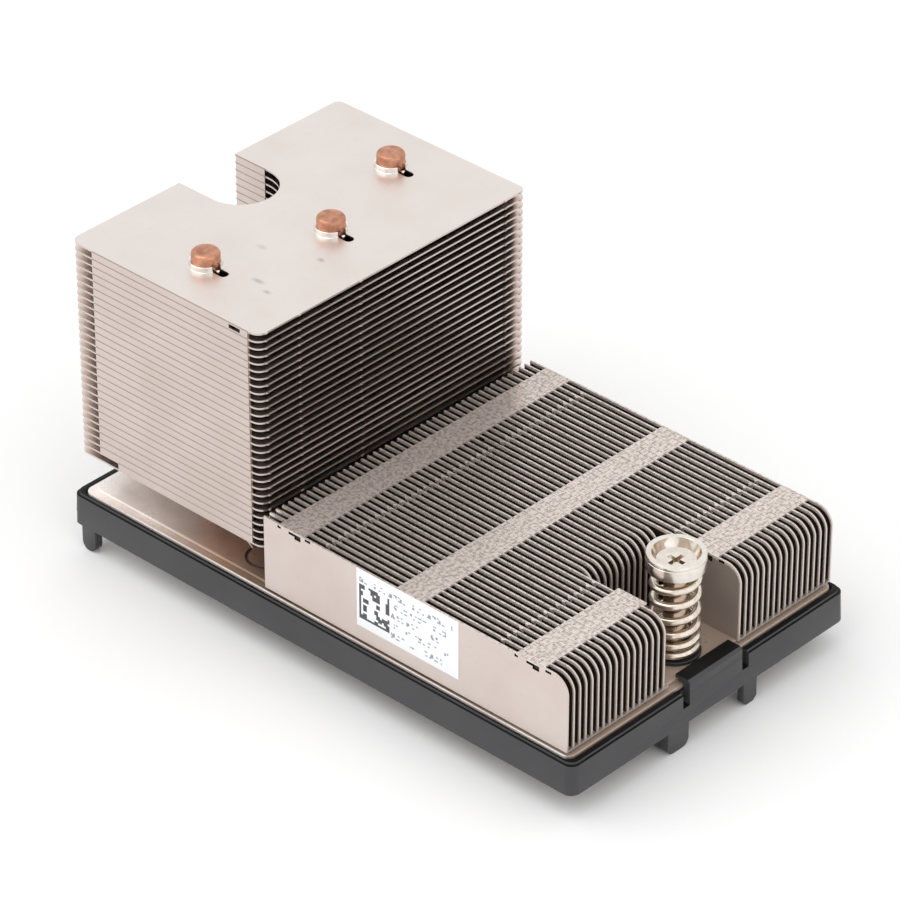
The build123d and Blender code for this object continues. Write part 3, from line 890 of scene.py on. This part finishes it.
def screwBody(s, name, x):
    top, bottom, r = s["capTop"], s["capBottom"], s["capRadius"]
    floor = top - s["dishDepth"]
    rings = [(0.8 * mm, s["tip"]), (1.5 * mm, s["tip"] + 0.1 * mm)]
    height = s["tip"] + 0.5 * mm
    while height < s["grooveBottom"] - 0.45 * mm:  # thread drawn as rings
        rings += [(s["threadRadius"] - 0.3 * mm, height), (s["threadRadius"], height + 0.3 * mm)]
        height += 0.6 * mm
    rings += [
        (s["grooveRadius"], s["grooveBottom"]), (s["grooveRadius"], s["grooveTop"]),
        (s["shankRadius"], s["grooveTop"]), (s["shankRadius"], bottom),
        (r - 0.35 * mm, bottom), (r - 0.1 * mm, bottom + 0.12 * mm), (r - 0.02 * mm, bottom + 0.4 * mm),
        (r - 0.02 * mm, top - 1.15 * mm), (r - 0.12 * mm, top - 1.0 * mm), (r, top - 0.75 * mm),
        (r, top - 0.35 * mm), (r - 0.12 * mm, top - 0.1 * mm), (r - 0.35 * mm, top),
        (s["dishRadius"] + 0.35 * mm, top), (s["dishRadius"] + 0.05 * mm, top - 0.15 * mm),
        (s["dishRadius"] - 0.25 * mm, top - 0.8 * mm), (s["dishRadius"] - 0.9 * mm, floor + 0.25 * mm),
        (s["dishRadius"] - 1.6 * mm, floor), (0.4 * mm, floor),
    ]
    piece = turned(name, rings, (x, 0), 56)
    half, arm = s["crossLength"] / 2, s["crossWidth"] / 2
    for size in ((half, arm), (arm, half)):
        slot = box("cross", (x - size[0], -size[1], floor - 1.2 * mm),
                   (x + size[0], size[1], floor + 0.3 * mm))
        startEdit(slot, "FACE")
        selectWhere(slot, lambda f, co: co.z < floor - 1.1 * mm, "faces")
        bpy.ops.transform.resize(value=(0.55, 0.55, 1), center_override=(x, 0, floor - 1.2 * mm))
        stopEdit()
        cut(piece, slot)

    # marks for painted shade: 2 on the shank under the spring, 1 on the dish and the cross
    def recess(normal, centre):
        radius = math.hypot(centre.x - x, centre.y)
        if radius < s["shankRadius"] + 0.1 * mm and centre.z < bottom and abs(normal.z) < 0.5:
            return 2.0
        return float(radius < s["dishRadius"] + 0.1 * mm and centre.z > floor - 1.5 * mm and normal.z < 0.9)
    return markInner(piece, recess)


def coilSpring(s, name, x):
    sides, steps = s["wireSides"], round(s["turns"] * s["stepsPerTurn"])
    wire = s["wireRadius"]
    low, high = s["springBottom"] + wire * 0.8, s["springTop"] - wire * 0.8
    clearSelection()
    bpy.ops.mesh.primitive_circle_add(vertices=sides, radius=wire, location=(s["springRadius"], 0, low),
                                      rotation=(math.pi / 2, 0, 0))
    coil = settled(name)
    applied(coil, "SCREW", angle=2 * math.pi * s["turns"], screw_offset=high - low, steps=steps,
            render_steps=steps, use_merge_vertices=False, axis="Z")
    for index, vertex in enumerate(coil.data.vertices):  # wider turns above, closed turns at both ends
        share = (index // sides) / steps if len(coil.data.vertices) == sides * (steps + 1) else 0
        wanted = share - 0.02 * math.sin(2 * math.pi * share) - 0.07 * math.sin(math.pi * share)
        vertex.co.z += (wanted - share) * (high - low)
        vertex.co.z = min(max(vertex.co.z, s["springBottom"]), s["springTop"])
    startEdit(coil, "EDGE")
    bpy.ops.mesh.select_all(action="DESELECT")
    bpy.ops.mesh.select_non_manifold()
    bpy.ops.mesh.edge_face_add()
    outwards(coil)
    coil.data.transform(Matrix.Translation((x, 0, 0)) @ Matrix.Rotation(math.radians(s["phase"]), 4, "Z"))
    return coil


def buildScrews(s):
    for end, sign in (("rear", -1), ("front", 1)):
        x = sign * s["x"]
        finished(screwBody(s, f"captive_screw_{end}", x), f"screw_{end}", finishes["screw"],
                 [f"retention_screw_{end}"])
        coil = coilSpring(s, f"coil_spring_{end}", x)
        finished(coil, "root", finishes["spring"], [f"screw_spring_{end}"], smooth=50)
        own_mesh(coil)
        inner, outer, bottom, top = s["washer"]
        soft = 0.15 * mm
        ring = turned(f"spring_washer_{end}", [
            (inner, bottom), (outer - soft, bottom), (outer, bottom + soft), (outer, top - soft),
            (outer - soft, top), (inner + soft, top), (inner, top - soft), (inner, bottom)],
            (x, 0), 48, hollow=True)
        finished(ring, "root", finishes["washer"], [f"screw_washer_{end}"])
        clip = nodes[f"screw_clip_{end}"]
        clip.data.materials.clear()
        clip.data.materials.append(finishes["clip"])


buildScrews(screw)
print("screws built")


# The paper label with a made-up block code and grey bars
label = {
    "x": (11.0 * mm, 38.4 * mm), "z": (8.4 * mm, 22.1 * mm), "y": (-39.695 * mm, -39.575 * mm),
    "code": (11.7 * mm, 14.6 * mm, 8.2 * mm, 16), "ink": 0.012 * mm, "seed": 7,
    "bars": 5, "barPitch": 2.35 * mm, "barHeight": 1.2 * mm, "barSquare": 0.26 * mm,
}


def printGrid(name, x, z, columns, rows, y, keep):
    # a flat grid in front of the paper; squares that keep() refuses are deleted
    clearSelection()
    bpy.ops.mesh.primitive_grid_add(x_subdivisions=columns, y_subdivisions=rows, size=1,
                                    location=((x[0] + x[1]) / 2, y, (z[0] + z[1]) / 2),
                                    rotation=(math.pi / 2, 0, 0))
    bpy.context.active_object.scale = (x[1] - x[0], z[1] - z[0], 1)
    grid = settled(name)
    startEdit(grid, "FACE")
    selectWhere(grid, lambda f, co: not keep(int((co.x - x[0]) / (x[1] - x[0]) * columns),
                                             int((co.z - z[0]) / (z[1] - z[0]) * rows)), "faces")
    bpy.ops.mesh.delete(type="FACE")
    bpy.ops.mesh.select_all(action="SELECT")
    bpy.ops.mesh.extrude_region_move(TRANSFORM_OT_translate={"value": (0, label["ink"], 0)})
    outwards(grid)
    return grid


def buildLabel(s):
    paper = box("paper_label", (s["x"][0], s["y"][0], s["z"][0]), (s["x"][1], s["y"][1], s["z"][1]))
    softened(paper, 0.04 * mm, 2)
    finished(paper, "root", finishes["paper"], ["side_label"])
    rng = random.Random(s["seed"])
    dots = {(a, b): rng.random() < 0.52 for a in range(40) for b in range(40)}
    front = s["y"][0] - s["ink"]
    codeX, codeZ, side, count = s["code"]
    codeRise = (codeZ - side / 2, codeZ + side / 2)
    code = printGrid("code", (codeX, codeX + side), codeRise, count, count, front,
                     lambda a, b: a == 0 or b == 0 or dots[a, b])
    rows = []
    for row in range(s["bars"]):
        z = s["z"][1] - 2.3 * mm - s["barPitch"] * row
        half = s["barHeight"] / 2
        start = s["x"][0] + (9.3 + (row % 2) * 0.8) * mm
        stop = s["x"][1] - (1.6 + (row * 1.7) % 4) * mm
        if row == 0:  # the first bar runs on over the code
            start = s["x"][0] + 0.8 * mm
        columns = round((stop - start) / s["barSquare"])
        rows.append(printGrid(
            "bar", (start, stop), (z - half, z + half), columns, 4, front,
            lambda a, b: a % 5 != 4 and dots[(a * 3 + b + row * 7) % 40, (a + row) % 40]))
    code.name = code.data.name = "label_code"
    finished(code, "root", finishes["ink"])
    finished(joined("label_lines", rows), "root", finishes["paleInk"])


buildLabel(label)
print("label built")


# Floor, light and camera
studio = {
    "floorZ": -9.2 * mm, "floorSize": 6.0, "worldDiffuse": 0.95, "lampSize": 1.2, "lit": (0, 0, 0.02),
    "lamps": {"key": ((-0.35, -0.55, 0.9), 3.4), "fill": ((0.9, -0.1, 0.5), 1.0)},
    "camera": (597.937, -639.781, 605.651), "azimuth": 43.1105, "elevation": 33.5231,
    "focal": 5206.253, "imageSize": 900, "sensor": 36.0,
}


def areaLight(name, place, target, size, power):
    lamp = bpy.data.lights.new(name, "AREA")
    lamp.shape = "SQUARE"
    lamp.size = size
    lamp.energy = power
    obj = bpy.data.objects.new(name, lamp)
    bpy.context.scene.collection.objects.link(obj)
    obj.location = place
    obj.rotation_mode = "QUATERNION"
    obj.rotation_quaternion = (Vector(target) - Vector(place)).to_track_quat("-Z", "Y")


def buildStudio(s):
    clearSelection()
    bpy.ops.mesh.primitive_plane_add(size=s["floorSize"], location=(0, 0, s["floorZ"]))
    floor = settled("floor")
    material, tree, shader, place = newFinish("floor_white", Roughness=0.9, Specular_IOR_Level=0.0)
    cloud = noise(tree, place, 3, 2)
    tree.links.new(blended(tree, cloud, (0.96, 0.96, 0.96), (0.98, 0.98, 0.98)), shader.inputs["Base Color"])
    floor.data.materials.append(material)
    world = bpy.data.worlds.new("studio")
    bpy.context.scene.world = world
    world.use_nodes = True
    tree = world.node_tree
    path = tree.nodes.new("ShaderNodeLightPath")
    seen = sums(tree, "MAXIMUM", path.outputs["Is Camera Ray"], path.outputs["Is Glossy Ray"])
    seen = sums(tree, "MAXIMUM", seen, path.outputs["Is Transmission Ray"])
    strength = between(tree, seen, 0, 1, s["worldDiffuse"], 1.0)
    sky = tree.nodes["Background"]
    sky.inputs["Color"].default_value = (1.0, 1.0, 1.0, 1)
    tree.links.new(strength, sky.inputs["Strength"])
    for name, (lampPlace, power) in s["lamps"].items():
        areaLight(name, lampPlace, s["lit"], s["lampSize"], power)
    az, el = math.radians(s["azimuth"]), math.radians(s["elevation"])
    back = Vector((math.sin(az) * math.cos(el), -math.cos(az) * math.cos(el), math.sin(el)))
    right = Vector((math.cos(az), math.sin(az), 0))
    up = back.cross(right)
    camera = bpy.data.objects.new("camera", bpy.data.cameras.new("camera"))
    bpy.context.scene.collection.objects.link(camera)
    turn = Matrix((right, up, back)).transposed()
    camera.matrix_world = Matrix.Translation(Vector(s["camera"]) * mm) @ turn.to_4x4()
    camera.data.sensor_width = s["sensor"]
    camera.data.lens = s["focal"] / s["imageSize"] * s["sensor"]
    camera.data.clip_start, camera.data.clip_end = 0.01, 20.0
    bpy.context.scene.camera = camera
    bpy.context.scene.view_settings.view_transform = "Standard"


buildStudio(studio)
print("studio ready")
